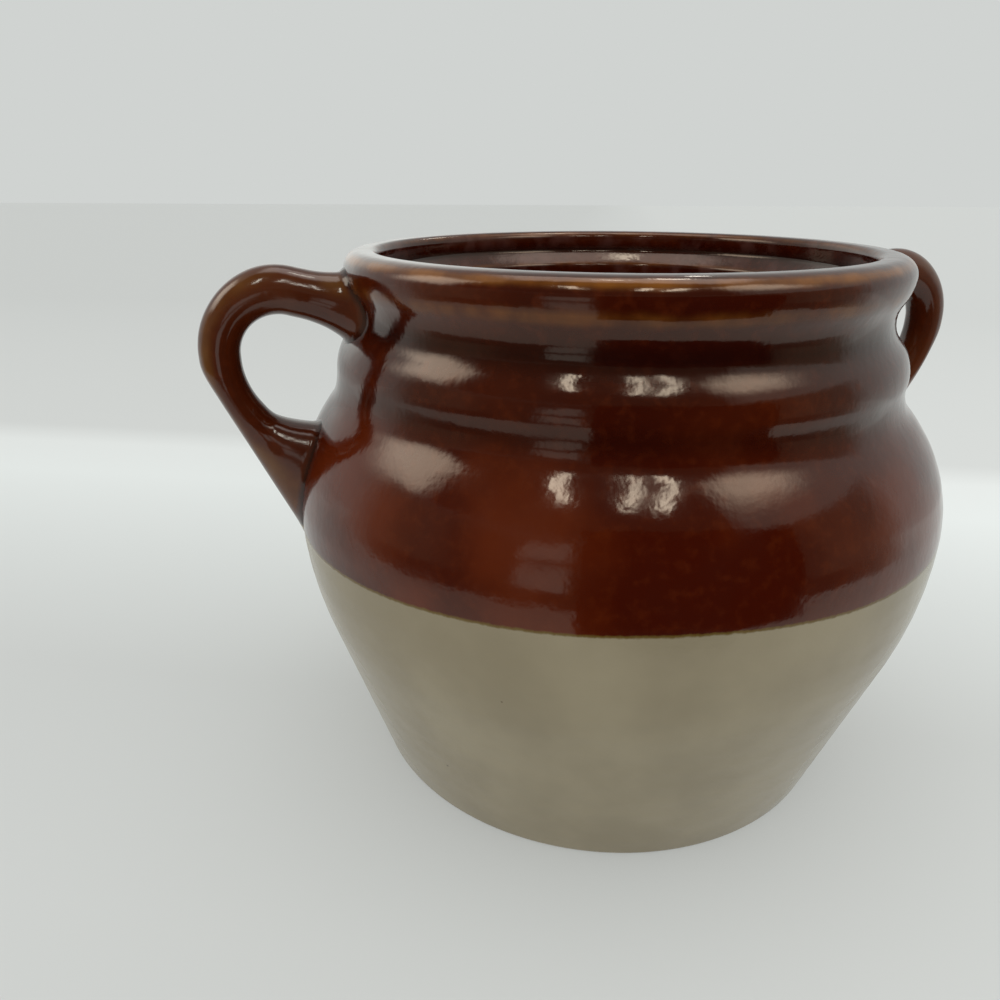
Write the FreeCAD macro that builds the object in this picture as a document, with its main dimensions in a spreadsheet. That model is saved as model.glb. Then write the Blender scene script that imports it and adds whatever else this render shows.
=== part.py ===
import FreeCAD, Part
import os

import Sketcher
from math import acos, asin, cos, degrees, pi, radians, sin, sqrt

# Two-handled stoneware bean pot, millimetres.
# Origin at the centre of the foot, +Z up, +X through the middle of the right handle.

SIZES = {
    # Outside of the turned pot, from the foot up
    "foot_radius": 72.0,         # flat of the foot, out to where its corner starts
    "foot_corner": 2.0,          # rounding under the wall
    "lower_curve": 106.0,        # long curve that swells from the foot to the belly
    "belly_radius": 94.5,        # widest point
    "belly_height": 82.0,        # widest point above the table
    "waist_rise": 37.0,          # belly up to the crease under the shoulder bulge
    "waist_inset": 15.1,         # crease inside the belly
    "waist_crease": 10.5,        # radius in that crease
    "bulge_rise": 3.6,           # crease up to the crown of the shoulder bulge
    "bulge_swell": 0.3,          # bulge outside the crease
    "neck_rise": 14.2,           # bulge up to the bottom of the neck groove
    "neck_inset": 5.4,           # neck groove inside the bulge
    "neck_curve": 9.0,           # radius in the neck groove
    "rim_rise": 10.4,            # neck groove up to the widest point of the rolled rim
    "rim_overhang": 2.9,         # rim outside the neck groove
    "rim_corner": 4.8,           # outer rounding of the rim, up to its crest
    # Inside of the pot
    "wall": 7.0,                 # wall from the floor up to the belly, alike all the way
    "floor": 8.0,                # floor over the table
    "floor_corner": 16.0,        # rounding between floor and wall
    "neck_wall": 10.4,           # wall behind the neck groove, down to the throat
    "throat_curve": 28.0,        # radius that leads from the belly up to the throat
    "throat_drop": 18.0,         # foot of the straight throat below the crest
    "nose_round": 1.8,           # rounding of the seat's inner edge
    "seat_slope": 48.0,          # lid seat, degrees from level
    "seat_cove": 2.0,            # rounding between lid seat and rim
    "seat_depth": 6.0,           # lid seat's outer edge below the crest
    "rim_wall": 9.4,             # rolled rim, outside to inside
    "lip_round": 2.3,            # inner rounding of the crest
    # Underside
    "recess_radius": 60.0,       # inner edge of the foot ring
    "recess_depth": 1.6,         # hollow inside the foot ring
    "recess_ramp": 5.0,          # slope from the ring into that hollow, measured level
    # Handles, measured on the strap's centre line
    "handle_stand": 16.1,        # furthest point outside the belly
    "handle_drop": 9.3,          # highest point below the crest
    "arch_radius": 15.8,         # bend over the top
    "grip_run": 1.4,             # straight length below that bend
    "sweep_radius": 26.0,        # bend that leads back to the shoulder
    "sweep_turn": 51.5,          # degrees of that bend
    "rise_angle": 14.5,          # strap leaves the neck rising by this many degrees
    "root_sink": 5.5,            # upper end of the strap inside the neck groove
    "heel_sink": 14.0,           # lower end of the strap inside the belly
    "crown_thickness": 11.8,     # strap over the top, from the loop's opening outwards
    "crown_width": 12.2,         # strap over the top, side to side
    "grip_thickness": 10.5,      # strap at the outer side of the loop
    "grip_width": 11.4,          # strap there, side to side
    "heel_thickness": 11.0,      # strap where it starts to spread on to the shoulder
    "heel_width": 12.8,          # strap there, side to side
    "root_thickness": 30.0,      # spread end under the rim
    "root_width": 29.0,          # spread end under the rim, side to side
    "tail_thickness": 42.0,      # spread end on the belly, ending in a tail
    "tail_width": 22.0,          # spread end on the belly, side to side
}
CUTTER_LIFT = 3.0                # cavity cutter past the crest and recess cutter past the foot
ROOT_FLARE = 2.6                 # power law of the spread under the rim
TAIL_FLARE = 1.3                 # power law of the spread on the belly, in thickness
TAIL_SPREAD = 0.7                # and in width
# Where the strap's cross-sections lie, as shares of each stretch
ROOT_SHARES = (1.0, 0.75, 0.5, 0.25)         # back from the arch into the neck
ARCH_SHARES = (0.0, 0.25, 0.5, 0.75, 1.0)
SWEEP_SHARES = (1 / 3, 2 / 3, 1.0)
TAIL_SHARES = (0.2, 0.4, 0.6, 0.8, 1.0)


class Size:
    """A length or angle as a sheet expression, with its value."""

    def __init__(self, text, value):
        self.text = text
        self.value = value

    def __add__(self, other):
        other = as_size(other)
        return Size(f"({self.text} + {other.text})", self.value + other.value)

    def __sub__(self, other):
        other = as_size(other)
        return Size(f"({self.text} - {other.text})", self.value - other.value)

    def __mul__(self, other):
        other = as_size(other)
        return Size(f"({self.text} * {other.text})", self.value * other.value)

    def __truediv__(self, other):
        other = as_size(other)
        return Size(f"({self.text} / {other.text})", self.value / other.value)

    def cosine(self):
        return Size(f"cos({self.text})", cos(radians(self.value)))

    def sine(self):
        return Size(f"sin({self.text})", sin(radians(self.value)))

    def arccosine(self):
        return Size(f"acos({self.text})", degrees(acos(self.value)))

    def arcsine(self):
        return Size(f"asin({self.text})", degrees(asin(self.value)))

    def root(self):
        return Size(f"sqrt({self.text})", sqrt(self.value))


def as_size(number):
    return number if isinstance(number, Size) else Size(repr(float(number)), float(number))


doc = FreeCAD.newDocument("bean_pot")
sheet = doc.addObject("Spreadsheet::Sheet", "Sizes")
for row, (alias, number) in enumerate(SIZES.items(), start=1):
    sheet.set(f"A{row}", alias)
    sheet.set(f"B{row}", str(number))
    sheet.setAlias(f"B{row}", alias)
doc.recompute()
size = {alias: Size(f"Sizes.{alias}", number) for alias, number in SIZES.items()}

# Key points of the outside, each as a radius and a height
belly_radius = size["belly_radius"]
belly_height = size["belly_height"]
waist_radius = belly_radius - size["waist_inset"]
waist_height = belly_height + size["waist_rise"]
bulge_radius = waist_radius + size["bulge_swell"]
bulge_height = waist_height + size["bulge_rise"]
neck_radius = bulge_radius - size["neck_inset"]
neck_height = bulge_height + size["neck_rise"]
rim_radius = neck_radius + size["rim_overhang"]
rim_height = neck_height + size["rim_rise"]
crest_height = rim_height + size["rim_corner"]
# Key points of the inside
inner_belly = belly_radius - size["wall"]
throat_radius = neck_radius - size["neck_wall"]
throat_height = crest_height - size["throat_drop"]
bore_radius = rim_radius - size["rim_wall"]
seat_height = crest_height - size["seat_depth"]


def origin_plane(body, role):
    return next(feature for feature in body.Origin.OriginFeatures if feature.Role == role)


def sketch_on(body, name, role):
    sketch = body.newObject("Sketcher::SketchObject", name)
    sketch.AttachmentSupport = [(origin_plane(body, role), "")]
    sketch.MapMode = "FlatFace"
    return sketch


class Outline:
    """Half section of a turned form: edges that meet end to end, upwards from the axis."""

    START, END, CENTRE = 1, 2, 3
    ORIGIN, AXIS = (-1, 1), -2

    def __init__(self, body, name):
        self.sketch = sketch_on(body, name, "XZ_Plane")
        self.entry = {}
        self.exit = {}

    def line(self, start, end):
        first = FreeCAD.Vector(start[0], start[1], 0)
        last = FreeCAD.Vector(end[0], end[1], 0)
        edge = self.sketch.addGeometry(Part.LineSegment(first, last), False)
        self.entry[edge] = self.START
        self.exit[edge] = self.END
        return edge

    def arc(self, centre, radius, entry_angle, exit_angle):
        """Arc from one angle to the other, in degrees, the shorter way round."""
        circle = Part.Circle(FreeCAD.Vector(centre[0], centre[1], 0), FreeCAD.Vector(0, 0, 1), radius)
        forward = exit_angle > entry_angle
        low, high = sorted((radians(entry_angle), radians(exit_angle)))
        edge = self.sketch.addGeometry(Part.ArcOfCircle(circle, low, high), False)
        self.entry[edge] = self.START if forward else self.END
        self.exit[edge] = self.END if forward else self.START
        return edge

    def rule(self, kind, *where):
        return self.sketch.addConstraint(Sketcher.Constraint(kind, *where))

    def bind(self, kind, *where, to):
        index = self.rule(kind, *where, to.value)
        self.sketch.setExpression(f"Constraints[{index}]", to.text)

    def incline(self, edge, to):
        """Slope of a line, in degrees from level."""
        index = self.rule("Angle", edge, radians(to.value))
        self.sketch.setExpression(f"Constraints[{index}]", f"{to.text} * 1 deg")

    def join(self, edge, following):
        self.rule("Coincident", edge, self.exit[edge], following, self.entry[following])

    def smooth(self, edge, following):
        self.rule("Tangent", edge, self.exit[edge], following, self.entry[following])

    def place(self, edge, vertex, radius, height):
        self.bind("DistanceX", *self.ORIGIN, edge, vertex, to=radius)
        self.bind("DistanceY", *self.ORIGIN, edge, vertex, to=height)

    def upright_exit(self, edge):
        """The arc ends level with its centre, so the form is upright there."""
        self.rule("Horizontal", edge, self.CENTRE, edge, self.exit[edge])


def swing(near, far, rise, known):
    """Second radius and turn, in degrees, of two tangent arcs between two upright tangents."""
    step = abs(near - far)
    total = (step * step + rise * rise) / (2 * step)
    return total - known, degrees(asin(rise / total))


def taper_lean():
    """Lean of the straight wall above the foot, which touches the foot's corner and the long curve."""
    across = size["foot_radius"] - (belly_radius - size["lower_curve"])
    down = belly_height - size["foot_corner"]
    gap = (across * across + down * down).root()
    return (down / gap).arcsine() - ((size["lower_curve"] - size["foot_corner"]) / gap).arccosine()


def floor_flat():
    """Radius of the level floor, from which the wall keeps its thickness all the way up the taper."""
    lean = taper_lean()
    outer = size["foot_radius"] * lean.cosine() - size["foot_corner"] * lean.sine() + size["foot_corner"]
    inner = outer - size["wall"] - size["floor_corner"]
    return (inner + (size["floor"] + size["floor_corner"]) * lean.sine()) / lean.cosine()


def on_circle(centre, radius, angle):
    return centre[0] + radius * cos(radians(angle)), centre[1] + radius * sin(radians(angle))


def draw_lower_wall(outline, flat, corner_radius, bottom, curve_radius, belly):
    """Base line, corner, straight taper and long curve up to the belly."""
    foot = outline.line((0, bottom.value), (flat.value, bottom.value))
    corner_centre = (flat.value, bottom.value + corner_radius.value)
    curve_centre = (belly.value - curve_radius.value, belly_height.value)
    turn = -taper_lean().value
    corner = outline.arc(corner_centre, corner_radius.value, -90, turn)
    taper = outline.line(on_circle(corner_centre, corner_radius.value, turn),
                         on_circle(curve_centre, curve_radius.value, turn))
    curve = outline.arc(curve_centre, curve_radius.value, turn, 0)
    outline.rule("Horizontal", foot)
    outline.rule("PointOnObject", foot, outline.START, outline.AXIS)
    outline.place(foot, outline.END, flat, bottom)
    outline.smooth(foot, corner)
    outline.bind("Radius", corner, to=corner_radius)
    outline.smooth(corner, taper)
    outline.smooth(taper, curve)
    outline.bind("Radius", curve, to=curve_radius)
    outline.place(curve, outline.END, belly, belly_height)
    outline.upright_exit(curve)
    return foot, curve


def draw_outside(body, name):
    """Outer form of the pot, closed along its axis."""
    outline = Outline(body, name)
    foot, lower = draw_lower_wall(outline, size["foot_radius"], size["foot_corner"], as_size(0),
                                  size["lower_curve"], belly_radius)
    # Shoulder: belly curve, then the crease under the bulge
    crease_radius = size["waist_crease"]
    crease_centre = waist_radius + crease_radius
    upper_radius, turn = swing(belly_radius.value, waist_radius.value, size["waist_rise"].value,
                               crease_radius.value)
    upper = outline.arc((belly_radius.value - upper_radius, belly_height.value), upper_radius, 0, turn)
    under_radius, bend = swing(bulge_radius.value, waist_radius.value, size["bulge_rise"].value,
                               crease_radius.value)
    crease = outline.arc((crease_centre.value, waist_height.value), crease_radius.value, 180 + turn, 180 - bend)
    outline.smooth(lower, upper)
    outline.smooth(upper, crease)
    outline.place(crease, outline.CENTRE, crease_centre, waist_height)
    outline.bind("Radius", crease, to=crease_radius)
    # Bulge: its lower half leaves the crease, its upper half runs into the neck groove
    under = outline.arc((bulge_radius.value - under_radius, bulge_height.value), under_radius, -bend, 0)
    outline.smooth(crease, under)
    outline.place(under, outline.END, bulge_radius, bulge_height)
    outline.upright_exit(under)
    groove_radius = size["neck_curve"]
    groove_centre = neck_radius + groove_radius
    over_radius, turn = swing(bulge_radius.value, neck_radius.value, size["neck_rise"].value,
                              groove_radius.value)
    over = outline.arc((bulge_radius.value - over_radius, bulge_height.value), over_radius, 0, turn)
    outline.smooth(under, over)
    # Neck groove and rolled rim
    rim_curve, bend = swing(rim_radius.value, neck_radius.value, size["rim_rise"].value, groove_radius.value)
    groove = outline.arc((groove_centre.value, neck_height.value), groove_radius.value, 180 + turn, 180 - bend)
    outline.smooth(over, groove)
    outline.place(groove, outline.CENTRE, groove_centre, neck_height)
    outline.bind("Radius", groove, to=groove_radius)
    rim = outline.arc((rim_radius.value - rim_curve, rim_height.value), rim_curve, -bend, 0)
    outline.smooth(groove, rim)
    outline.place(rim, outline.END, rim_radius, rim_height)
    outline.upright_exit(rim)
    corner_radius = size["rim_corner"]
    corner = outline.arc((rim_radius.value - corner_radius.value, rim_height.value), corner_radius.value, 0, 90)
    outline.smooth(rim, corner)
    outline.bind("Radius", corner, to=corner_radius)
    crest = outline.line((rim_radius.value - corner_radius.value, crest_height.value), (0, crest_height.value))
    outline.smooth(corner, crest)
    outline.rule("Horizontal", crest)
    outline.rule("PointOnObject", crest, outline.END, outline.AXIS)
    axis = outline.line((0, crest_height.value), (0, 0))
    outline.join(crest, axis)
    outline.join(axis, foot)
    return outline.sketch


def draw_cavity(body):
    """Inside of the pot: floor, belly, throat, lid seat and mouth, open past the crest."""
    outline = Outline(body, "cavity_outline")
    inner_curve = size["lower_curve"] - size["wall"]
    floor, lower = draw_lower_wall(outline, floor_flat(), size["floor_corner"], size["floor"],
                                   inner_curve, inner_belly)
    # Belly to throat
    throat_curve = size["throat_curve"]
    throat_centre = throat_radius + throat_curve
    upper_radius, turn = swing(inner_belly.value, throat_radius.value,
                               (throat_height - belly_height).value, throat_curve.value)
    upper = outline.arc((inner_belly.value - upper_radius, belly_height.value), upper_radius, 0, turn)
    throat = outline.arc((throat_centre.value, throat_height.value), throat_curve.value, 180 + turn, 180)
    outline.smooth(lower, upper)
    outline.smooth(upper, throat)
    outline.place(throat, outline.CENTRE, throat_centre, throat_height)
    outline.bind("Radius", throat, to=throat_curve)
    # Lid seat: rounded nose, slope and cove
    slope = size["seat_slope"]
    lean = 90 - slope.value
    nose_radius = size["nose_round"].value
    cove_radius = size["seat_cove"].value
    cove_centre = (bore_radius.value - cove_radius, seat_height.value)
    cove_foot = on_circle(cove_centre, cove_radius, -lean)
    nose_x = throat_radius.value + nose_radius
    nose_edge = nose_x + nose_radius * cos(radians(180 - lean))
    run = cove_foot[0] - nose_edge
    slope_foot = (nose_edge, cove_foot[1] - run * sin(radians(slope.value)) / cos(radians(slope.value)))
    nose_centre = (nose_x, slope_foot[1] - nose_radius * sin(radians(180 - lean)))
    land = outline.line((throat_radius.value, throat_height.value), (throat_radius.value, nose_centre[1]))
    nose = outline.arc(nose_centre, nose_radius, 180, 180 - lean)
    seat = outline.line(slope_foot, cove_foot)
    cove = outline.arc(cove_centre, cove_radius, -lean, 0)
    outline.smooth(throat, land)
    outline.rule("Vertical", land)
    outline.smooth(land, nose)
    outline.bind("Radius", nose, to=size["nose_round"])
    outline.smooth(nose, seat)
    outline.incline(seat, to=slope)
    outline.smooth(seat, cove)
    outline.bind("Radius", cove, to=size["seat_cove"])
    outline.place(cove, outline.END, bore_radius, seat_height)
    # Mouth: bore, rounded lip, and the cutter's open top
    lip_radius = size["lip_round"]
    lip_centre = (bore_radius.value + lip_radius.value, crest_height.value - lip_radius.value)
    bore = outline.line((bore_radius.value, seat_height.value), (bore_radius.value, lip_centre[1]))
    lip = outline.arc(lip_centre, lip_radius.value, 180, 90)
    outline.smooth(cove, bore)
    outline.rule("Vertical", bore)
    outline.smooth(bore, lip)
    outline.bind("Radius", lip, to=lip_radius)
    outline.rule("Vertical", lip, outline.CENTRE, lip, outline.exit[lip])
    outline.bind("DistanceY", *outline.ORIGIN, lip, outline.exit[lip], to=crest_height)
    top = crest_height.value + CUTTER_LIFT
    side = outline.line((lip_centre[0], crest_height.value), (lip_centre[0], top))
    cover = outline.line((lip_centre[0], top), (0, top))
    axis = outline.line((0, top), (0, size["floor"].value))
    outline.join(lip, side)
    outline.rule("Vertical", side)
    outline.bind("DistanceY", side, outline.START, side, outline.END, to=as_size(CUTTER_LIFT))
    outline.join(side, cover)
    outline.rule("Horizontal", cover)
    outline.rule("PointOnObject", cover, outline.END, outline.AXIS)
    outline.join(cover, axis)
    outline.join(axis, floor)
    return outline.sketch


def draw_recess(body):
    """Shallow hollow trimmed out of the foot, closed below the table."""
    outline = Outline(body, "recess_outline")
    edge_radius = size["recess_radius"]
    depth = size["recess_depth"]
    flat_radius = edge_radius - size["recess_ramp"]
    base = outline.line((0, -CUTTER_LIFT), (edge_radius.value, -CUTTER_LIFT))
    side = outline.line((edge_radius.value, -CUTTER_LIFT), (edge_radius.value, 0))
    ramp = outline.line((edge_radius.value, 0), (flat_radius.value, depth.value))
    flat = outline.line((flat_radius.value, depth.value), (0, depth.value))
    axis = outline.line((0, depth.value), (0, -CUTTER_LIFT))
    outline.rule("Horizontal", base)
    outline.rule("PointOnObject", base, outline.START, outline.AXIS)
    outline.bind("DistanceY", base, outline.START, *outline.ORIGIN, to=as_size(CUTTER_LIFT))
    outline.join(base, side)
    outline.place(side, outline.END, edge_radius, as_size(0))
    outline.rule("Vertical", side)
    outline.join(side, ramp)
    outline.place(ramp, outline.END, flat_radius, depth)
    outline.join(ramp, flat)
    outline.rule("Horizontal", flat)
    outline.rule("PointOnObject", flat, outline.END, outline.AXIS)
    outline.join(flat, axis)
    outline.join(axis, base)
    return outline.sketch


def turn_on_axis(body, kind, name, sketch):
    """Full turn of a half section about the pot's axis, added or cut away."""
    feature = body.newObject(f"PartDesign::{kind}", name)
    feature.Profile = sketch
    feature.ReferenceAxis = (sketch, ["V_Axis"])
    feature.Angle = 360.0
    doc.recompute()
    return feature


def cut_turned(body, name, sketch):
    """Groove that has to take material away."""
    before = body.Shape.Volume
    groove = turn_on_axis(body, "Groove", name, sketch)
    if not body.Shape.Volume < before:
        raise RuntimeError(f"{name} cut nothing")
    return groove


def make_pot_body():
    body = doc.addObject("PartDesign::Body", "pot_body")
    body.Label = "pot_body"
    turn_on_axis(body, "Revolution", "outer_form", draw_outside(body, "outer_outline"))
    cut_turned(body, "cavity", draw_cavity(body))
    cut_turned(body, "foot_recess", draw_recess(body))
    return body


def half_oval(sketch, width, thickness, side):
    """Right (side 1) or left (side -1) half of an oval about the sketch's origin."""
    half_width = width.value / 2
    half_thickness = thickness.value / 2
    origin = FreeCAD.Vector(0, 0, 0)
    upright = thickness.value > width.value
    if upright:
        long_end = FreeCAD.Vector(0, half_thickness, 0)
        short_end = FreeCAD.Vector(-half_width, 0, 0)
        start = pi if side > 0 else 0
    else:
        long_end = FreeCAD.Vector(half_width, 0, 0)
        short_end = FreeCAD.Vector(0, half_thickness, 0)
        start = -pi / 2 if side > 0 else pi / 2
    oval = Part.Ellipse(long_end, short_end, origin)
    edge = sketch.addGeometry(Part.ArcOfEllipse(oval, start, start + pi), False)
    sketch.exposeInternalGeometry(edge)
    long_axis = edge + 1
    short_axis = edge + 2
    sketch.addConstraint(Sketcher.Constraint("Coincident", edge, 3, -1, 1))
    sketch.addConstraint(Sketcher.Constraint("Vertical" if upright else "Horizontal", long_axis))
    for axis, span in ((long_axis, thickness if upright else width), (short_axis, width if upright else thickness)):
        index = sketch.addConstraint(Sketcher.Constraint("Distance", axis, span.value))
        sketch.setExpression(f"Constraints[{index}]", span.text)
    for end in (1, 2):
        sketch.addConstraint(Sketcher.Constraint("PointOnObject", edge, end, -2))


class Station:
    """One cross-section of the strap: where it is, which way the strap runs, how big it is."""

    def __init__(self, reach, height, heading, width, thickness):
        self.reach = reach
        self.height = height
        self.heading = heading
        self.width = width
        self.thickness = thickness


def blend(first, last, share):
    return first + (last - first) * share


def strap_stations():
    """Cross-sections from under the rim, over the arch and down to the belly."""
    arch = size["arch_radius"]
    arch_x = belly_radius + size["handle_stand"] - arch
    arch_z = crest_height - size["handle_drop"] - arch
    rise = size["rise_angle"]
    stations = []
    # Run out of the neck, spread where it starts
    crown_x = arch_x - arch * rise.sine()
    crown_z = arch_z + arch * rise.cosine()
    root_run = (crown_x - neck_radius + size["root_sink"]) / rise.cosine()
    for share in ROOT_SHARES:
        back = root_run * share
        flare = share ** ROOT_FLARE
        stations.append(Station(crown_x - back * rise.cosine(), crown_z - back * rise.sine(), rise,
                                blend(size["crown_width"], size["root_width"], flare),
                                blend(size["crown_thickness"], size["root_thickness"], flare)))
    # Arch over the top and down the outer side
    arch_turn = rise + 90
    for share in ARCH_SHARES:
        angle = arch_turn * (1.0 - share)
        stations.append(Station(arch_x + arch * angle.cosine(), arch_z + arch * angle.sine(), angle - 90,
                                blend(size["crown_width"], size["grip_width"], share),
                                blend(size["crown_thickness"], size["grip_thickness"], share)))
    # Bend back to the shoulder
    sweep = size["sweep_radius"]
    sweep_x = arch_x + arch - sweep
    sweep_z = arch_z - size["grip_run"]
    for share in SWEEP_SHARES:
        angle = size["sweep_turn"] * -share
        stations.append(Station(sweep_x + sweep * angle.cosine(), sweep_z + sweep * angle.sine(), angle - 90,
                                blend(size["grip_width"], size["heel_width"], share ** 2),
                                blend(size["grip_thickness"], size["heel_thickness"], share ** 2)))
    # Spread on to the belly, down to the tail
    heel = stations[-1]
    heading = heel.heading
    tail_run = (heel.reach - belly_radius + size["heel_sink"]) / (as_size(0) - heading.cosine())
    for share in TAIL_SHARES:
        down = tail_run * share
        stations.append(Station(heel.reach + down * heading.cosine(), heel.height + down * heading.sine(), heading,
                                blend(size["heel_width"], size["tail_width"], share ** TAIL_SPREAD),
                                blend(size["heel_thickness"], size["tail_thickness"], share ** TAIL_FLARE)))
    return stations


def draw_station(body, name, station):
    """Oval on a plane across the strap: Y is its width, the other way its thickness."""
    sketch = sketch_on(body, name, "YZ_Plane")
    tilt = FreeCAD.Rotation(FreeCAD.Vector(1, 0, 0), -station.heading.value)
    sketch.AttachmentOffset = FreeCAD.Placement(
        FreeCAD.Vector(0, station.height.value, station.reach.value), tilt)
    sketch.setExpression("AttachmentOffset.Base.y", station.height.text)
    sketch.setExpression("AttachmentOffset.Base.z", station.reach.text)
    sketch.setExpression("AttachmentOffset.Rotation.Angle", f"-1 * {station.heading.text}")
    for side in (1, -1):
        half_oval(sketch, station.width, station.thickness, side)
    return sketch


def make_handle(name, turn):
    """Pulled strap, lofted through its stations and seated on the pot's outside."""
    body = doc.addObject("PartDesign::Body", name)
    body.Label = name
    sections = [draw_station(body, f"strap_section_{count:02d}", station)
                for count, station in enumerate(strap_stations(), start=1)]
    doc.recompute()
    strap = body.newObject("PartDesign::AdditiveLoft", "strap")
    strap.Profile = sections[0]
    strap.Sections = [(section, [""]) for section in sections[1:]]
    doc.recompute()
    cut_turned(body, "seat", draw_outside(body, "seat_outline"))
    body.Placement = FreeCAD.Placement(FreeCAD.Vector(0, 0, 0), FreeCAD.Rotation(FreeCAD.Vector(0, 0, 1), turn))
    return body


parts = [make_pot_body(), make_handle("handle_right", 0), make_handle("handle_left", 180)]
doc.recompute()

for item in doc.Objects:
    if "Invalid" in item.State or "Error" in item.State:
        raise RuntimeError(f"{item.Name} failed: {item.State}")
for part in parts:
    if part.Shape.isNull() or not part.Shape.isValid() or len(part.Shape.Solids) != 1:
        raise RuntimeError(f"{part.Label} is not one valid solid")

os.makedirs("parts", exist_ok=True)
for part in parts:
    part.Shape.exportStep(f"parts/{part.Label}.step")
    box = part.Shape.BoundBox
    print(f"{part.Label}: {part.Shape.Volume / 1000:.1f} cm3, "
          f"x {box.XMin:.1f} to {box.XMax:.1f}, y {box.YMin:.1f} to {box.YMax:.1f}, "
          f"z {box.ZMin:.1f} to {box.ZMax:.1f}")
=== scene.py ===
from math import acos, asin, ceil, cos, degrees, exp, hypot, pi, radians, sin, tan

import bmesh
import bpy
import numpy as np
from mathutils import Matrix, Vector


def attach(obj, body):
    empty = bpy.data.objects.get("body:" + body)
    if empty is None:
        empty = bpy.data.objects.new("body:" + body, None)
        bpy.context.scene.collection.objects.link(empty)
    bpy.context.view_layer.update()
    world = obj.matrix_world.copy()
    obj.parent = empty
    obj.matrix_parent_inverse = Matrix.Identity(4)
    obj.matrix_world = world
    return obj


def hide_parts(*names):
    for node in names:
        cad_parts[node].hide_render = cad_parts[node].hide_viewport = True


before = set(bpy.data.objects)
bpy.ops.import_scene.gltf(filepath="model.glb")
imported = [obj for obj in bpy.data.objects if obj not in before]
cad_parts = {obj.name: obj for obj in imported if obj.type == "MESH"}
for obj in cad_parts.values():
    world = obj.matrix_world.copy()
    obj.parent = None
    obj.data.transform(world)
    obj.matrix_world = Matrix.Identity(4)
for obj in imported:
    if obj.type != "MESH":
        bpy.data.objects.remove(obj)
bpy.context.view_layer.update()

# A two-handled stoneware bean pot: wheel-thrown body, pulled strap handles, and a dark iron
# glaze dipped over a pale one. Lengths are in millimetres until a mesh is made.
MM = 0.001

# Outside of the pot, from the foot up
FOOT_RADIUS = 72.0
FOOT_CORNER = 2.0
LOWER_CURVE = 106.0
BELLY_RADIUS = 94.5
BELLY_HEIGHT = 82.0
WAIST_RISE = 37.0
WAIST_INSET = 15.1
WAIST_CREASE = 10.5
BULGE_RISE = 3.6
BULGE_SWELL = 0.3
NECK_RISE = 14.2
NECK_INSET = 5.4
NECK_CURVE = 9.0
RIM_RISE = 10.4
RIM_OVERHANG = 2.9
RIM_CORNER = 4.8
# Inside of the pot
WALL = 7.0
FLOOR = 8.0
FLOOR_CORNER = 16.0
FLOOR_SETBACK = 15.0
NECK_WALL = 10.4
THROAT_CURVE = 28.0
THROAT_DROP = 18.0
NOSE_ROUND = 1.8
SEAT_SLOPE = 48.0
SEAT_COVE = 2.0
SEAT_DEPTH = 6.0
RIM_WALL = 9.4
LIP_ROUND = 2.3
# Underside
RECESS_RADIUS = 60.0
RECESS_DEPTH = 1.6
RECESS_RAMP = 5.0
# Handles, on the strap's centre line, as radii, angles in degrees and drops from the crest
HANDLE_STAND = 16.1
HANDLE_DROP = 9.3
ARCH_RADIUS = 15.8
GRIP_RUN = 1.4
SWEEP_RADIUS = 26.0
SWEEP_TURN = 51.5
RISE_ANGLE = 14.5
ROOT_SINK = 5.5
HEEL_SINK = 14.0
CROWN = (12.2, 11.8)             # width and thickness of the strap over the top
GRIP = (11.4, 10.5)              # at the outer side of the loop
HEEL = (12.8, 11.0)              # where it starts to spread on to the shoulder
ROOT = (29.0, 30.0)              # spread end under the rim
TAIL = (22.0, 42.0)              # spread end on the belly
ROOT_FLARE = 2.6
TAIL_FLARE = 1.3
TAIL_SPREAD = 0.7
# What the strap has beyond that line: a full crown, a straight outer edge and fired joints
CROWN_SWELL = 1.0                # fullness of the pulled strap over its top
SWELL_HEADING = -5.0             # the strap's heading, in degrees, where it is fullest
SWELL_SPREAD = 35.0              # degrees over which that fades
TAPER_HEADING = -78.0            # where the grip starts to turn into the straight edge
STRAIGHT_HEADING = -112.0        # past which the outer edge is straight
OUTER_TAPER = ((115.7, 122.9), (94.2, 75.2))    # reach and height of two points of it
TAPER_BLEND = 1.2                # how softly the round of the grip turns into the taper
SLIP_FILLET = 1.4                # height up to which slip fills the corner at the wall
SLIP_SPREAD = 0.7                # share of it by which the strap's skin spreads there
END_DEPTH = 3.5                  # how deep in the wall the strap's closed ends come to a point
BURIED = 1.0                     # how far the joint's hidden skin lies inside the wall
OUT_OF_SIGHT = 0.3               # depth in the wall past which the skin doesn't show
EDGE_THINNING = 1.2              # how thin the glaze ran along the strap's outer corners

# Key points worked out from those
WAIST_RADIUS = BELLY_RADIUS - WAIST_INSET
WAIST_HEIGHT = BELLY_HEIGHT + WAIST_RISE
BULGE_RADIUS = WAIST_RADIUS + BULGE_SWELL
BULGE_HEIGHT = WAIST_HEIGHT + BULGE_RISE
NECK_RADIUS = BULGE_RADIUS - NECK_INSET
NECK_HEIGHT = BULGE_HEIGHT + NECK_RISE
RIM_RADIUS = NECK_RADIUS + RIM_OVERHANG
RIM_HEIGHT = NECK_HEIGHT + RIM_RISE
CREST_HEIGHT = RIM_HEIGHT + RIM_CORNER
BORE_RADIUS = RIM_RADIUS - RIM_WALL
THROAT_RADIUS = NECK_RADIUS - NECK_WALL

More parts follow.
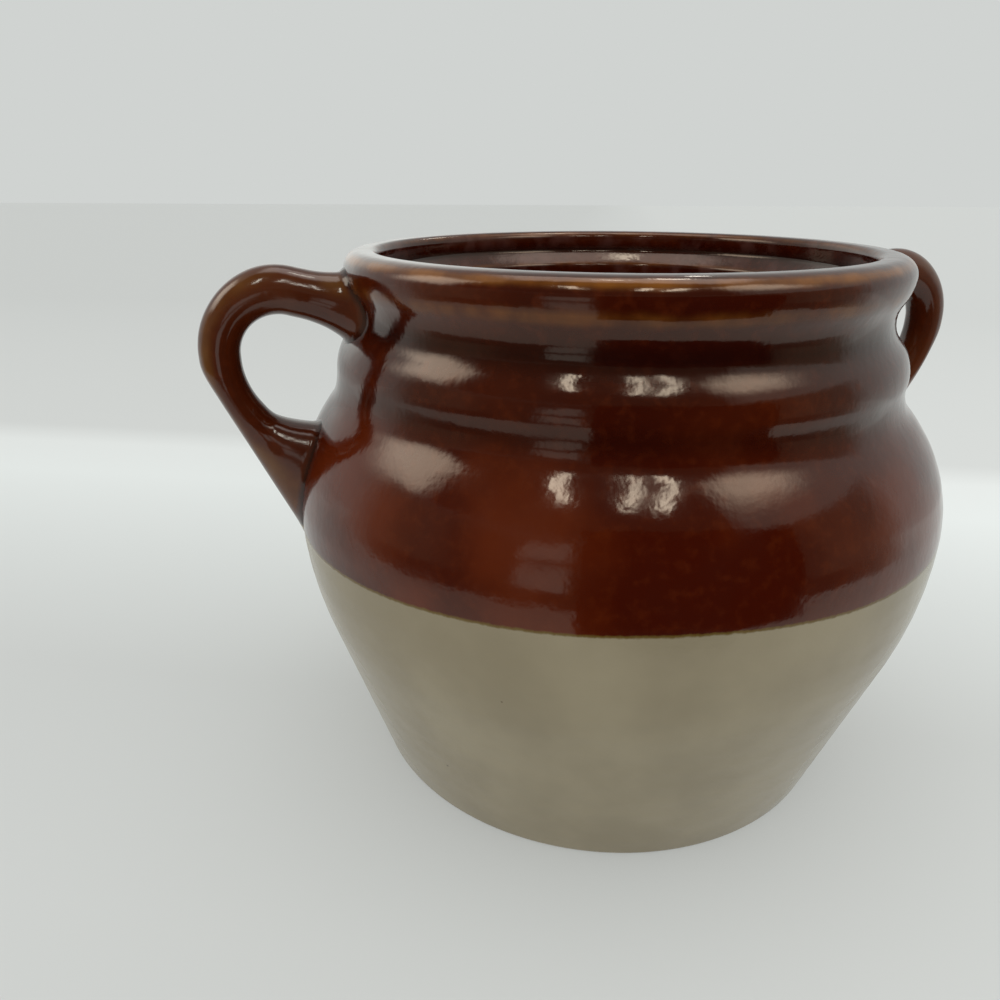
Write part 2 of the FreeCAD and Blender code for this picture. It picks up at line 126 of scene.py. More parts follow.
# Marks of the hand on the thrown wall
WOBBLE = 0.25                    # depth of the slow wobble round the wheel
WOBBLE_SCALE = 0.9               # scale of its noise, read round a circle of radius 1
WOBBLE_CLIMB = 12.0              # how much of that noise a metre of height passes through
CALM_RADIUS = 50.0               # radius within which the marks fade towards the axis
RING_DEPTH = 0.05                # throwing rings
RING_SPACING = 6.5
SMEAR = 1.8                      # clay smeared into the waist crease beside the straps
SMEAR_HEIGHT = WAIST_HEIGHT - 2.0
SMEAR_RISE = 8.0                 # how far up and down it reaches
SMEAR_WIDTH = 34.0               # how far it reaches to each side of the strap
SMEAR_FROM = WAIST_RADIUS - 2.0  # radius past which a ring is on the outside

# Mesh fineness
RING_STEP = 1.7                  # between rings along the outline
ARC_TURN = 11.0                  # most degrees that a ring turns from the last
SEGMENTS = 288                   # round the pot
STRAP_STEP = 0.8                 # between rings along a strap
STRAP_SEGMENTS = 72              # round a strap
WALL_STEP = 0.2                  # between points of the wall that the straps are seated on
WELD = 1e-6                      # metres within which two points are one
CARD_STEPS = 16                  # squares along each side of a studio card

# Where the two glazes meet
GLAZE_LINE = 83.0                # where the dark glaze stopped when the pot was dipped
LINE_WANDER = 2.4                # how far that line wanders from top to bottom
LINE_FRAY = 0.7                  # how far it is frayed
LINE_SAG = 4.6                   # how far it sags at the foot of the -X strap
SAG_RATE = 11.0                  # one over the radius in metres where it sags that far
INSIDE_LIFT = 100.0              # puts all of the inside above the line

# Marks that each mesh carries for its glaze: ran thin, pooled dark with painted shade, bare clay,
# inside of the pot
MARKS = ("thin", "pooled_and_shaded", "bare", "inner")
# Where the fired glaze ran thin, and where it pooled dark in the creases (partly the glaze's own
# depth, partly painted shade), as radius, height, reach and amount
RIM_EDGE = (RIM_RADIUS - RIM_CORNER * 0.32, RIM_HEIGHT + RIM_CORNER * 0.72)
THIN = ((*RIM_EDGE, 1.7, 0.95),
        (RIM_RADIUS, RIM_HEIGHT - 3.7, 2.6, 0.55),
        (BORE_RADIUS + 0.6, CREST_HEIGHT - 0.7, 1.2, 0.55),
        (THROAT_RADIUS + 0.4, CREST_HEIGHT - 10.4, 1.2, 0.5))
POOLED_AND_SHADED = ((WAIST_RADIUS, WAIST_HEIGHT, 3.0, 0.5),
          (NECK_RADIUS, NECK_HEIGHT - 1.5, 3.6, 0.9),
          (BORE_RADIUS, CREST_HEIGHT - SEAT_DEPTH, 1.6, 1.0))

# Studio
STUDIO_TURN = -23.5              # its middle line, in degrees from the pot's
SHEET_REACH = 6000.0
SHEET_GLOW = 0.38                # share of the sheet's colour that glows by itself: painted light that keeps the shadow pale
FRONT_BEARING = 12.0             # of the cards close in front of the pot
FRONT_REACH = 213.0


def on_circle(centre, radius, angle):
    """Point of a circle at an angle in degrees."""
    return centre[0] + radius * cos(radians(angle)), centre[1] + radius * sin(radians(angle))


def swing(near, far, rise, known):
    """Second radius and turn, in degrees, of two tangent arcs between two upright tangents."""
    step = abs(near - far)
    total = (step * step + rise * rise) / (2 * step)
    return total - known, degrees(asin(rise / total))


def tangent_turn(corner, corner_radius, curve, curve_radius):
    """Direction, in degrees below level, of the line that touches both circles outside."""
    down = curve[1] - corner[1]
    gap = hypot(corner[0] - curve[0], down)
    return degrees(asin(down / gap) - acos((curve_radius - corner_radius) / gap))


class Outline:
    """Half section of the pot, as points of radius and height."""

    def __init__(self, radius, height):
        self.points = [(radius, height)]

    def line(self, radius, height):
        first = self.points[-1]
        steps = max(1, ceil(hypot(radius - first[0], height - first[1]) / RING_STEP))
        for count in range(1, steps + 1):
            share = count / steps
            self.points.append((first[0] + (radius - first[0]) * share,
                                first[1] + (height - first[1]) * share))

    def arc(self, centre, radius, start, end):
        turn = abs(end - start)
        steps = max(2, ceil(turn / ARC_TURN), ceil(radians(turn) * radius / RING_STEP))
        for count in range(1, steps + 1):
            self.points.append(on_circle(centre, radius, start + (end - start) * count / steps))


def wall_foot(flat, corner_radius, bottom, curve_radius, belly):
    """Corner circle, curve circle and the turn where a straight taper joins them."""
    corner = (flat, bottom + corner_radius)
    curve = (belly - curve_radius, BELLY_HEIGHT)
    return corner, curve, -tangent_turn(corner, corner_radius, curve, curve_radius)


def trace_inside(outline):
    """From the middle of the floor up to the crest."""
    flat = FOOT_RADIUS - FLOOR_SETBACK
    inner_curve = LOWER_CURVE - WALL
    inner_belly = BELLY_RADIUS - WALL
    corner, curve, turn = wall_foot(flat, FLOOR_CORNER, FLOOR, inner_curve, inner_belly)
    outline.line(flat, FLOOR)
    outline.arc(corner, FLOOR_CORNER, -90, turn)
    outline.line(*on_circle(curve, inner_curve, turn))
    outline.arc(curve, inner_curve, turn, 0)
    throat_height = CREST_HEIGHT - THROAT_DROP
    upper, turn = swing(inner_belly, THROAT_RADIUS, throat_height - BELLY_HEIGHT, THROAT_CURVE)
    outline.arc((inner_belly - upper, BELLY_HEIGHT), upper, 0, turn)
    outline.arc((THROAT_RADIUS + THROAT_CURVE, throat_height), THROAT_CURVE, 180 + turn, 180)
    # Throat, rounded nose, sloping lid seat, cove and bore
    lean = 90 - SEAT_SLOPE
    cove = (BORE_RADIUS - SEAT_COVE, CREST_HEIGHT - SEAT_DEPTH)
    seat_top = on_circle(cove, SEAT_COVE, -lean)
    nose_edge = THROAT_RADIUS + NOSE_ROUND * (1 - cos(radians(lean)))
    seat_foot = (nose_edge, seat_top[1] - (seat_top[0] - nose_edge) * tan(radians(SEAT_SLOPE)))
    nose = (THROAT_RADIUS + NOSE_ROUND, seat_foot[1] - NOSE_ROUND * sin(radians(lean)))
    outline.line(THROAT_RADIUS, nose[1])
    outline.arc(nose, NOSE_ROUND, 180, 180 - lean)
    outline.line(*seat_top)
    outline.arc(cove, SEAT_COVE, -lean, 0)
    outline.line(BORE_RADIUS, CREST_HEIGHT - LIP_ROUND)
    outline.arc((BORE_RADIUS + LIP_ROUND, CREST_HEIGHT - LIP_ROUND), LIP_ROUND, 180, 90)
    outline.line(RIM_RADIUS - RIM_CORNER, CREST_HEIGHT)


def trace_outside(outline):
    """From the crest down to the edge of the foot."""
    outline.arc((RIM_RADIUS - RIM_CORNER, RIM_HEIGHT), RIM_CORNER, 90, 0)
    rim_curve, bend = swing(RIM_RADIUS, NECK_RADIUS, RIM_RISE, NECK_CURVE)
    outline.arc((RIM_RADIUS - rim_curve, RIM_HEIGHT), rim_curve, 0, -bend)
    over, turn = swing(BULGE_RADIUS, NECK_RADIUS, NECK_RISE, NECK_CURVE)
    outline.arc((NECK_RADIUS + NECK_CURVE, NECK_HEIGHT), NECK_CURVE, 180 - bend, 180 + turn)
    outline.arc((BULGE_RADIUS - over, BULGE_HEIGHT), over, turn, 0)
    under, bend = swing(BULGE_RADIUS, WAIST_RADIUS, BULGE_RISE, WAIST_CREASE)
    outline.arc((BULGE_RADIUS - under, BULGE_HEIGHT), under, 0, -bend)
    upper, turn = swing(BELLY_RADIUS, WAIST_RADIUS, WAIST_RISE, WAIST_CREASE)
    outline.arc((WAIST_RADIUS + WAIST_CREASE, WAIST_HEIGHT), WAIST_CREASE, 180 - bend, 180 + turn)
    outline.arc((BELLY_RADIUS - upper, BELLY_HEIGHT), upper, turn, 0)
    corner, curve, turn = wall_foot(FOOT_RADIUS, FOOT_CORNER, 0, LOWER_CURVE, BELLY_RADIUS)
    outline.arc(curve, LOWER_CURVE, 0, turn)
    outline.line(*on_circle(corner, FOOT_CORNER, turn))
    outline.arc(corner, FOOT_CORNER, turn, -90)


def trace_underside(outline):
    """From the foot in to the middle of the recess."""
    outline.line(RECESS_RADIUS, 0)
    outline.line(RECESS_RADIUS - RECESS_RAMP, RECESS_DEPTH)
    outline.line(0, RECESS_DEPTH)


def add(tree, kind, inputs=(), **settings):
    """Adds a node. Its inputs go by name or in order; a socket is linked and a value is set."""
    made = tree.nodes.new(kind)
    for name, value in settings.items():
        setattr(made, name, value)
    for name, value in inputs.items() if isinstance(inputs, dict) else enumerate(inputs):
        if isinstance(value, bpy.types.NodeSocket):
            tree.links.new(value, made.inputs[name])
        else:
            made.inputs[name].default_value = value
    return made


def work_out(tree, known, rows):
    """Works through rows of sums: the result's name, what is done, and its terms or their names."""
    for name, operation, *terms in rows:
        terms = [known.get(term, term) for term in terms]
        if operation == "SMOOTHSTEP":
            made = add(tree, "ShaderNodeMapRange", terms, interpolation_type=operation)
        else:
            made = add(tree, "ShaderNodeMath", terms, operation=operation)
        known[name] = made.outputs[0]


def linear(code):
    """Scene-linear colour of an sRGB hex code."""
    channels = [int(code[place:place + 2], 16) / 255 for place in (1, 3, 5)]
    return [c / 12.92 if c <= 0.04045 else ((c + 0.055) / 1.055) ** 2.4 for c in channels] + [1.0]


def per_mm(length):
    """Noise scale, on Object coordinates in metres, of features this many millimetres long."""
    return 1000.0 / length


def turned_form_tree():
    """Geometry Nodes: turns a half section about Z, and gives the wall the marks of the hand."""
    tree = bpy.data.node_groups.new("turned_form", "GeometryNodeTree")
    sockets = {}
    for name, kind in (("Half Section", "Geometry"), ("Segments", "Int"), ("Wobble", "Float"),
                       ("Ring Depth", "Float"), ("Ring Spacing", "Float"), ("Smear", "Float"),
                       ("Glaze", "Material")):
        made = tree.interface.new_socket(name, in_out="INPUT", socket_type=f"NodeSocket{kind}")
        sockets[name] = made.identifier
    tree.interface.new_socket("Pot", in_out="OUTPUT", socket_type="NodeSocketGeometry")
    given = add(tree, "NodeGroupInput").outputs
    section = given["Half Section"]
    known = {name: given[name] for name in sockets}

    # A grid has one row for each point of the half section and one column for each segment
    known["index"] = add(tree, "GeometryNodeInputIndex").outputs[0]
    work_out(tree, known, (("columns", "ADD", "Segments", 1.0),
                           ("middle", "ADD", "index", 0.5),
                           ("rows up", "DIVIDE", "middle", "columns"),
                           ("row", "FLOOR", "rows up"),
                           ("row start", "MULTIPLY", "row", "columns"),
                           ("column", "SUBTRACT", "index", "row start"),
                           ("turns", "DIVIDE", "column", "Segments"),
                           ("angle", "MULTIPLY", "turns", 2 * pi),
                           ("across", "COSINE", "angle"),
                           ("along", "SINE", "angle")))
    count = add(tree, "GeometryNodeAttributeDomainSize", {"Geometry": section}, component="MESH")
    grid = add(tree, "GeometryNodeMeshGrid", {"Vertices X": count.outputs["Point Count"],
                                              "Vertices Y": known["columns"]})
    position = add(tree, "GeometryNodeInputPosition").outputs[0]
    sampled = add(tree, "GeometryNodeSampleIndex",
                  {"Geometry": section, "Value": position, "Index": known["row"]},
                  data_type="FLOAT_VECTOR").outputs[0]
    place = add(tree, "ShaderNodeSeparateXYZ", {"Vector": sampled}).outputs
    known["radius"] = place["X"]
    known["height"] = place["Z"]

    # Slow wobble round the wheel, and rings that climb one spacing a turn; both only take clay
    # away. The waist crease is smeared full beside the straps.
    work_out(tree, known, (("climbed", "MULTIPLY", "height", WOBBLE_CLIMB),))
    round_wheel = add(tree, "ShaderNodeCombineXYZ",
                      (known["across"], known["along"], known["climbed"])).outputs[0]
    known["slow"] = add(tree, "ShaderNodeTexNoise", {"Vector": round_wheel, "Scale": WOBBLE_SCALE,
                                                     "Detail": 1.0}).outputs[0]
    work_out(tree, known, (("spacings", "DIVIDE", "height", "Ring Spacing"),
                           ("climb", "MULTIPLY", "spacings", 2 * pi),
                           ("ring angle", "ADD", "climb", "angle"),
                           ("ring wave", "SINE", "ring angle"),
                           ("lifted wave", "ADD", "ring wave", 1.0),
                           ("rings", "MULTIPLY", "lifted wave", 0.5),
                           ("wobble lost", "MULTIPLY", "slow", "Wobble"),
                           ("rings lost", "MULTIPLY", "rings", "Ring Depth"),
                           ("lost", "ADD", "wobble lost", "rings lost"),
                           ("from axis", "DIVIDE", "radius", CALM_RADIUS * MM),
                           ("share", "MINIMUM", "from axis", 1.0),
                           ("taken", "MULTIPLY", "lost", "share"),
                           ("pared", "SUBTRACT", "radius", "taken"),
                           ("off strap", "MULTIPLY", "radius", "along"),
                           ("aside", "DIVIDE", "off strap", SMEAR_WIDTH * MM),
                           ("aside squared", "POWER", "aside", 2.0),
                           ("off level", "SUBTRACT", "height", SMEAR_HEIGHT * MM),
                           ("upward", "DIVIDE", "off level", SMEAR_RISE * MM),
                           ("upward squared", "POWER", "upward", 2.0),
                           ("away", "ADD", "aside squared", "upward squared"),
                           ("below zero", "MULTIPLY", "away", -1.0),
                           ("fading", "EXPONENT", "below zero"),
                           ("outside", "GREATER_THAN", "radius", SMEAR_FROM * MM),
                           ("beside strap", "MULTIPLY", "fading", "outside"),
                           ("smeared", "MULTIPLY", "beside strap", "Smear"),
                           ("final", "ADD", "pared", "smeared"),
                           ("x", "MULTIPLY", "final", "across"),
                           ("y", "MULTIPLY", "final", "along")))
    spot = add(tree, "ShaderNodeCombineXYZ", (known["x"], known["y"], known["height"])).outputs[0]
    form = add(tree, "GeometryNodeSetPosition", {"Geometry": grid.outputs["Mesh"],
                                                 "Position": spot}).outputs[0]
    for mark in MARKS:
        named = add(tree, "GeometryNodeInputNamedAttribute", {"Name": mark}, data_type="FLOAT")
        carried = add(tree, "GeometryNodeSampleIndex",
                      {"Geometry": section, "Value": named.outputs[0], "Index": known["row"]},
                      data_type="FLOAT")
        form = add(tree, "GeometryNodeStoreNamedAttribute",
                   {"Geometry": form, "Name": mark, "Value": carried.outputs[0]},
                   data_type="FLOAT").outputs[0]
    closed = add(tree, "GeometryNodeMergeByDistance", {"Geometry": form, "Distance": WELD})
    smooth = add(tree, "GeometryNodeSetShadeSmooth", {"Geometry": closed.outputs[0]})
    real = add(tree, "GeometryNodeRealizeInstances", {"Geometry": smooth.outputs[0]})
    glazed = add(tree, "GeometryNodeSetMaterial", {"Geometry": real.outputs[0],
                                                   "Material": given["Glaze"]})
    add(tree, "NodeGroupOutput", glazed.outputs[:1])
    return tree, sockets


def new_object(name, mesh):
    made = bpy.data.objects.new(name, mesh)
    bpy.context.scene.collection.objects.link(made)
    return made


def outward(mesh):
    """Merges doubles and points every face away from the clay."""
    shell = bmesh.new()
    shell.from_mesh(mesh)
    bmesh.ops.remove_doubles(shell, verts=shell.verts, dist=1e-7)
    bmesh.ops.recalc_face_normals(shell, faces=shell.faces)
    shell.to_mesh(mesh)
    shell.free()


def near(spots, radius, height):
    """How much a point of the half section shares in marks that fade over their reach."""
    shares = [amount * exp(-((radius - x) ** 2 + (height - z) ** 2) / reach ** 2)
              for x, z, reach, amount in spots]
    return min(sum(shares), 1.0)


def make_pot(glaze):
    """Thrown body, turned from its half section."""
    section = Outline(0.0, FLOOR)
    trace_inside(section)
    # The inside ends on the flat of the crest, and the glaze on the last rings of the foot
    inside = len(section.points) - 4
    trace_outside(section)
    foot = len(section.points) - 2
    trace_underside(section)
    half = bpy.data.meshes.new("half_section")
    half.from_pydata([(radius * MM, 0.0, height * MM) for radius, height in section.points],
                     [(place, place + 1) for place in range(len(section.points) - 1)], [])
    marks = {"thin": [near(THIN, *point) for point in section.points],
             "pooled_and_shaded": [near(POOLED_AND_SHADED, *point) for point in section.points],
             "bare": [float(place >= foot) for place in range(len(section.points))],
             "inner": [float(place < inside) for place in range(len(section.points))]}
    for name, values in marks.items():
        half.attributes.new(name, "FLOAT", "POINT").data.foreach_set("value", values)
    source = new_object("half_section", half)
    tree, sockets = turned_form_tree()
    turned = source.modifiers.new("turned_form", "NODES")
    turned.node_group = tree
    for name, value in (("Segments", SEGMENTS), ("Wobble", WOBBLE * MM),
                        ("Ring Depth", RING_DEPTH * MM), ("Ring Spacing", RING_SPACING * MM),
                        ("Smear", SMEAR * MM), ("Glaze", glaze)):
        turned[sockets[name]] = value
    depsgraph = bpy.context.evaluated_depsgraph_get()
    mesh = bpy.data.meshes.new_from_object(source.evaluated_get(depsgraph))
    bpy.data.objects.remove(source)
    outward(mesh)
    mesh.name = "pot"
    return new_object("pot", mesh)


def wall_at(radius, height):
    """Nearest point of the pot's outside, the way out of the wall there, and the gap to it."""
    steps = WALL_LINE - np.array((radius, height))
    nearest = int(np.argmin((steps ** 2).sum(axis=1)))
    way = WALL_WAYS[nearest]
    return WALL_LINE[nearest], way, float(-(steps[nearest] @ way))


def finely(points):
    """The same line with a point about every fifth of a millimetre."""
    line = [points[0]]
    for (x, z), (next_x, next_z) in zip(points, points[1:]):
        steps = max(1, ceil(hypot(next_x - x, next_z - z) / WALL_STEP))
        line += [(x + (next_x - x) * count / steps, z + (next_z - z) * count / steps)
                 for count in range(1, steps + 1)]
    return line


def ways_out(line):
    """Unit directions out of the wall along a line that runs down its outside."""
    run = np.gradient(line, axis=0)
    way = np.stack((-run[:, 1], run[:, 0]), axis=1)
    return way / np.linalg.norm(way, axis=1)[:, None]


def smooth_through(lengths, values):
    """Function that passes smoothly through values at those lengths along the strap."""
    slopes = np.gradient(values, lengths)

    def at(length):
        place = min(max(int(np.searchsorted(lengths, length)) - 1, 0), len(lengths) - 2)
        gap = lengths[place + 1] - lengths[place]
        share = min(max((length - lengths[place]) / gap, 0.0), 1.0)
        rest = 1 - share
        return (values[place] * rest * rest * (1 + 2 * share)
                + slopes[place] * gap * share * rest * rest
                + values[place + 1] * share * share * (1 + 2 * rest)
                - slopes[place + 1] * gap * share * share * rest)
    return at


def strap_runs():
    """The strap's runs in order: length, path by share, stations, end sizes and how they grow."""
    arch_x = BELLY_RADIUS + HANDLE_STAND - ARCH_RADIUS
    arch_z = CREST_HEIGHT - HANDLE_DROP - ARCH_RADIUS
    crown = on_circle((arch_x, arch_z), ARCH_RADIUS, 90 + RISE_ANGLE)
    root_run = (crown[0] - NECK_RADIUS + ROOT_SINK) / cos(radians(RISE_ANGLE))
    sweep = (arch_x + ARCH_RADIUS - SWEEP_RADIUS, arch_z - GRIP_RUN)
    heel = on_circle(sweep, SWEEP_RADIUS, -SWEEP_TURN)
    heading = -90 - SWEEP_TURN
    tail_run = (heel[0] - BELLY_RADIUS + HEEL_SINK) / -cos(radians(heading))
    turn = 90 + RISE_ANGLE

    def from_root(share):
        return (*on_circle(crown, -root_run * (1 - share), RISE_ANGLE), RISE_ANGLE)

    def over_arch(share):
        angle = turn * (1 - share)
        return (*on_circle((arch_x, arch_z), ARCH_RADIUS, angle), angle - 90)

    def down_grip(share):
        return arch_x + ARCH_RADIUS, arch_z - GRIP_RUN * share, -90

    def round_sweep(share):
        angle = -SWEEP_TURN * share
        return (*on_circle(sweep, SWEEP_RADIUS, angle), angle - 90)

    def along_tail(share):
        return (*on_circle(heel, tail_run * share, heading), heading)

    def evenly(share):
        return share

    def early(share):
        return 1 - (1 - share) ** ROOT_FLARE

    def late(share):
        return share ** 2

    def tail_width(share):
        return share ** TAIL_SPREAD

    def tail_thickness(share):
        return share ** TAIL_FLARE

    sweep_run = radians(SWEEP_TURN) * SWEEP_RADIUS
    quarters = (0.0, 0.25, 0.5, 0.75)
    fifths = (0.0, 0.2, 0.4, 0.6, 0.8, 1.0)
    return ((root_run, from_root, quarters, ROOT, CROWN, early, early),
            (radians(turn) * ARCH_RADIUS, over_arch, quarters, CROWN, GRIP, evenly, evenly),
            (GRIP_RUN, down_grip, (0.5,), GRIP, GRIP, evenly, evenly),
            (sweep_run, round_sweep, (1 / 3, 2 / 3), GRIP, HEEL, late, late),
            (tail_run, along_tail, fifths, HEEL, TAIL, tail_width, tail_thickness))


def strap_path():
    """Rings of a strap from root to tail: reach, height, heading, width, inner and outer half."""
    lengths, widths, thicknesses = [], [], []
    start = 0.0
    for run, _, stations, first, last, widening, thickening in strap_runs():
        for share in stations:
            lengths.append(start + run * share)
            widths.append(first[0] + (last[0] - first[0]) * widening(share))
            thicknesses.append(first[1] + (last[1] - first[1]) * thickening(share))
        start += run
    width_at = smooth_through(lengths, widths)
    thickness_at = smooth_through(lengths, thicknesses)
    rings = []
    start = 0.0
    for run, place, *_ in strap_runs():
        steps = ceil(run / STRAP_STEP)
        for count in range(steps):
            reach, height, heading = place(count / steps)
            length = start + run * count / steps
            half = thickness_at(length) / 2
            outer = outer_half(reach, height, heading, half)
            rings.append((reach, height, heading, width_at(length), half, outer))
        start += run
    return rings


def outer_half(reach, height, heading, half):
    """Outer half thickness: below the grip, the outer edge is one straight taper to the belly."""
    if heading > TAPER_HEADING:
        return half + CROWN_SWELL * exp(-((heading - SWELL_HEADING) / SWELL_SPREAD) ** 2)
    (top_x, top_z), (foot_x, foot_z) = OUTER_TAPER
    long = hypot(foot_x - top_x, foot_z - top_z)
    normal = ((top_z - foot_z) / long, (foot_x - top_x) / long)
    way = (-sin(radians(heading)), cos(radians(heading)))
    away = (top_x - reach) * normal[0] + (top_z - height) * normal[1]
    edge = away / (way[0] * normal[0] + way[1] * normal[1])
    if heading < STRAIGHT_HEADING:
        return edge
    near_both = max(TAPER_BLEND - abs(edge - half), 0.0)
    return min(edge, half) - near_both ** 2 / (4 * TAPER_BLEND)


def seat_strap(spot, push):
    """Spreads a strap's point along the wall near its joint, and lays the end under the skin."""
    span = hypot(spot.x, spot.y)
    round_pot = Vector((spot.x / span, spot.y / span, 0))
    _, way, gap = wall_at(span, spot.z)
    nearness = min(max(1 - gap / SLIP_FILLET, 0.0), 1.0)
    if nearness == 0.0:
        return spot, nearness, gap
    out = round_pot * way[0] + Vector((0, 0, way[1]))
    aside = push - out * push.dot(out)
    spot = spot + aside * SLIP_FILLET * SLIP_SPREAD * nearness ** 2
    span = hypot(spot.x, spot.y)
    on_wall, way, _ = wall_at(span, spot.z)
    held = on_wall + way * max(gap, -BURIED)
    return Vector((spot.x * held[0] / span, spot.y * held[0] / span, held[1])), nearness, gap


def make_handle(name, side, glaze):
    """Pulled strap with its joints smoothed on to the wall; side is 1 for +X and -1 for -X."""
    shell = bmesh.new()
    marks = {mark: shell.verts.layers.float.new(mark) for mark in MARKS}
    loops = []
    gaps = []
    for reach, height, heading, width, inner, outer in strap_path():
        through = Vector((-sin(radians(heading)), 0, cos(radians(heading))))
        centre = Vector((reach, 0, height))
        loop = []
        for count in range(STRAP_SEGMENTS):
            angle = 2 * pi * count / STRAP_SEGMENTS
            aside = Vector((0, cos(angle), 0))
            push = aside + through * sin(angle)
            depth = outer if sin(angle) > 0 else inner
            spot = centre + aside * width / 2 + through * sin(angle) * depth
            spot, nearness, gap = seat_strap(spot, push)
            made = shell.verts.new(Vector((side * spot.x, side * spot.y, spot.z)) * MM)
            corner = max(sin(angle), 0.0) * abs(cos(angle))
            made[marks["thin"]] = corner * (1 - nearness) * EDGE_THINNING
            # Darker where the strap meets the wall: pooled glaze, partly painted shade in that
            # corner
            made[marks["pooled_and_shaded"]] = nearness
            loop.append(made)
            gaps.append(gap)
        loops.append(loop)
    for first, last in zip(loops, loops[1:]):
        for count in range(STRAP_SEGMENTS):
            after = (count + 1) % STRAP_SEGMENTS
            shell.faces.new((first[count], first[after], last[after], last[count]))
    # Each end closes to a point inside the wall
    for loop in (loops[0], loops[-1]):
        middle = sum((corner.co for corner in loop), Vector()) / len(loop) / MM
        span = hypot(middle.x, middle.y)
        on_wall, way, _ = wall_at(span, middle.z)
        deep = on_wall - way * END_DEPTH
        inward = deep[0] / span
        tip = shell.verts.new(Vector((middle.x * inward, middle.y * inward, deep[1])) * MM)
        gaps.append(-END_DEPTH)
        for first, after in zip(loop, loop[1:] + loop[:1]):
            shell.faces.new((first, after, tip))
    # The skin inside the wall is flat shaded, so it doesn't bend the shading of what shows
    shell.verts.index_update()
    for face in shell.faces:
        face.smooth = max(gaps[corner.index] for corner in face.verts) > -OUT_OF_SIGHT
    bmesh.ops.remove_doubles(shell, verts=shell.verts, dist=WELD)
    bmesh.ops.recalc_face_normals(shell, faces=shell.faces)
    mesh = bpy.data.meshes.new(name)
    shell.to_mesh(mesh)
    shell.free()
    mesh.materials.append(glaze)
    return new_object(name, mesh)


